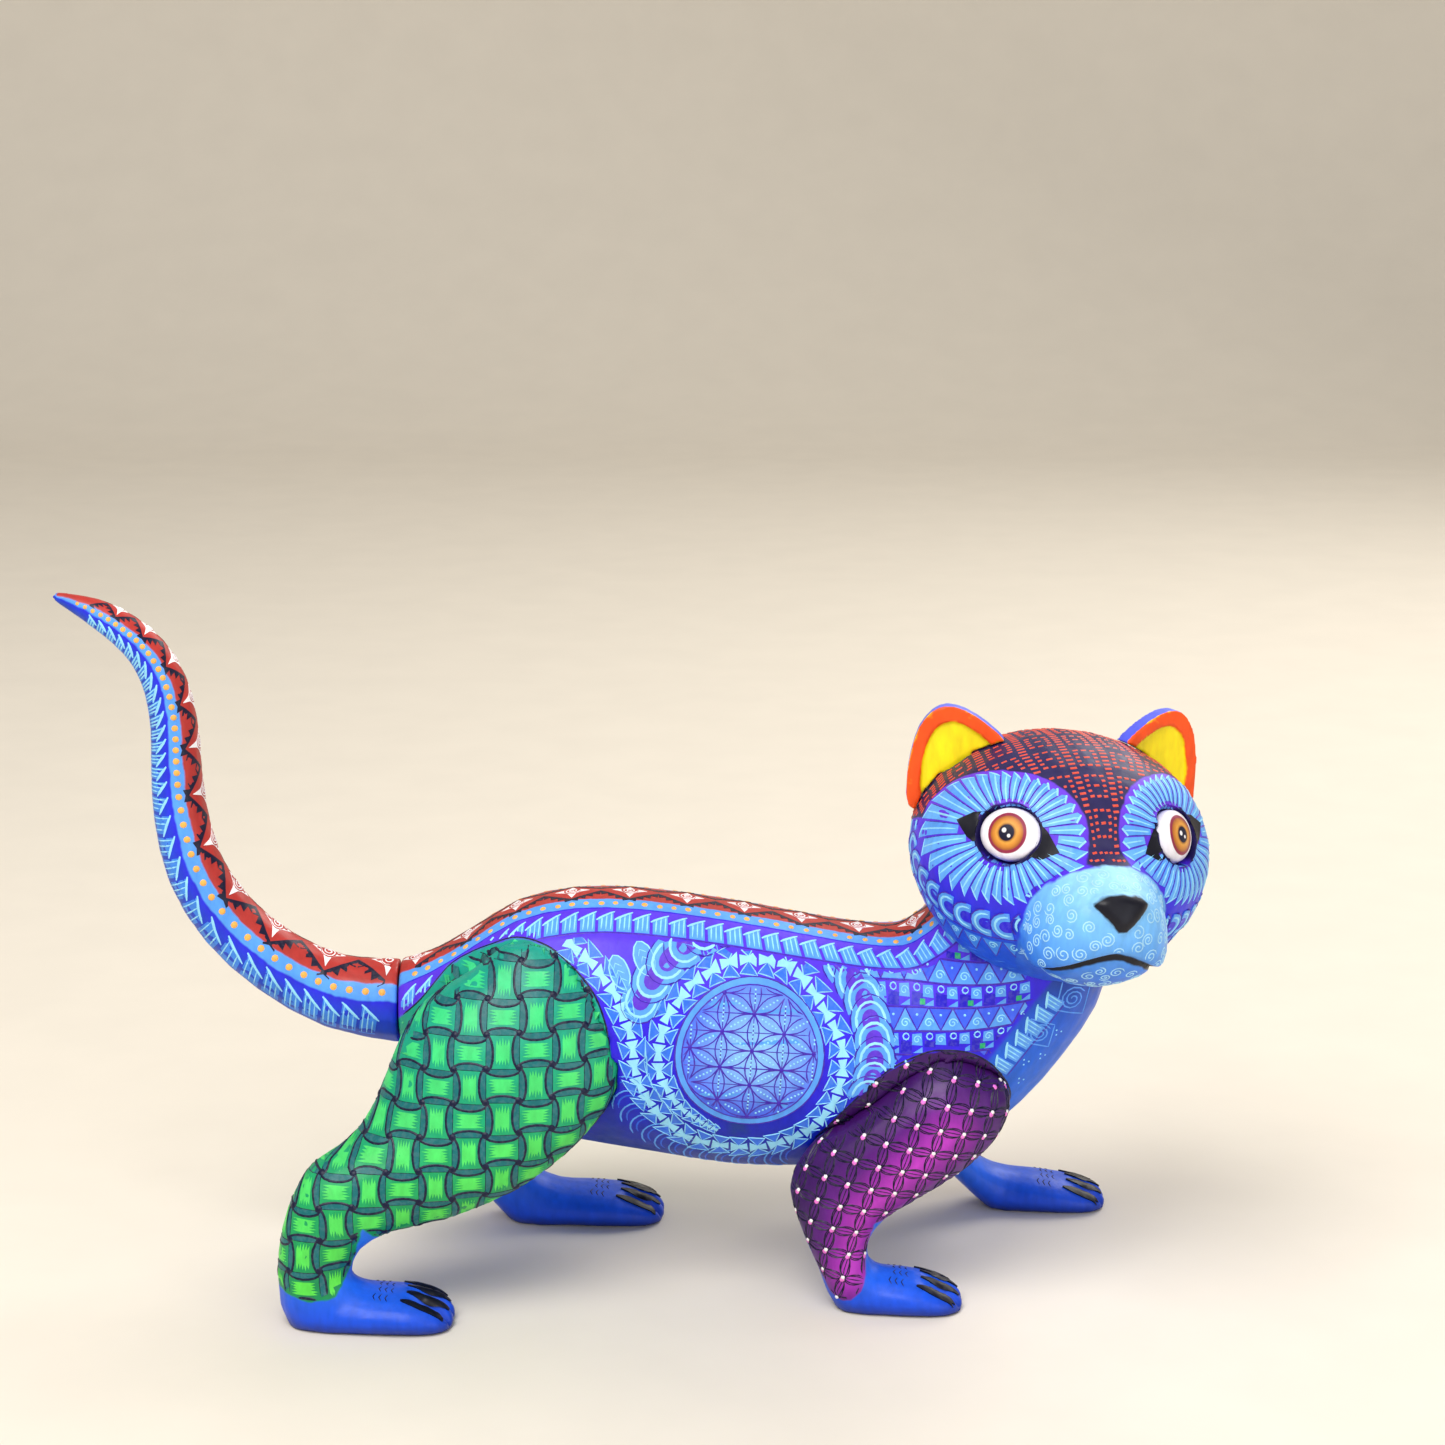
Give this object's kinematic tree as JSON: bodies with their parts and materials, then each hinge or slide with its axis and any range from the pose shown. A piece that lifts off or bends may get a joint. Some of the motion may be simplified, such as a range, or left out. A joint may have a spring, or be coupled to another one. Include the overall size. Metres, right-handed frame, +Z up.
{
  "type": "alebrije figure",
  "caption": "Carved and painted wooden feline, walking with its head turned to its right; the ears and the tail pull out of their sockets.",
  "frame": {"origin": "on the surface the figure stands on, under the middle of its box", "axes": "+X the way the figure walks, +Y its left side, +Z up"},
  "size_m": [0.3052, 0.1193, 0.1875],
  "materials": {
    "painted_trunk": "satin acrylic paint, fine line patterns on ultramarine and violet",
    "painted_head": "satin acrylic paint, light blue rays, pale muzzle and dark crown",
    "painted_ear": "satin acrylic paint, yellow with an orange-red rim",
    "painted_eye": "glossy acrylic paint, white with an amber iris",
    "painted_tail": "satin acrylic paint, brick-red stripe and blue blades",
    "painted_purple_leg": "satin acrylic paint, purple patch with raised dots on blue",
    "painted_blue_leg": "satin acrylic paint, purple patch on the outer side, plain blue within",
    "painted_green_leg": "satin acrylic paint, green basket weave above a plain blue foot",
    "bare_wood": "sanded, unpainted"
  },
  "bodies": {
    "carving": {"torso": "painted_trunk", "head": "painted_head", "neck_dowel": "bare_wood", "eye_right": "painted_eye", "eye_left": "painted_eye", "foreleg_right": "painted_purple_leg", "foreleg_left": "painted_blue_leg", "shoulder_dowel_right": "bare_wood", "shoulder_dowel_left": "bare_wood", "hindleg_right": "painted_green_leg", "hindleg_left": "painted_green_leg", "hip_dowel_right": "bare_wood", "hip_dowel_left": "bare_wood"},
    "ear_right": {"ear_right": "painted_ear"},
    "ear_left": {"ear_left": "painted_ear"},
    "tail": {"tail": "painted_tail"}
  },
  "joints": [
    {"name": "ear_right_pull", "type": "slide", "parent": "carving", "child": "ear_right", "axis": [-0.7177, 0.0773, 0.692], "range_m": [0, 0.014]},
    {"name": "ear_left_pull", "type": "slide", "parent": "carving", "child": "ear_left", "axis": [0.6986, 0.4042, 0.5904], "range_m": [0, 0.014]},
    {"name": "tail_pull", "type": "slide", "parent": "carving", "child": "tail", "axis": [-1, 0, 0], "range_m": [0, 0.03]}
  ]
}
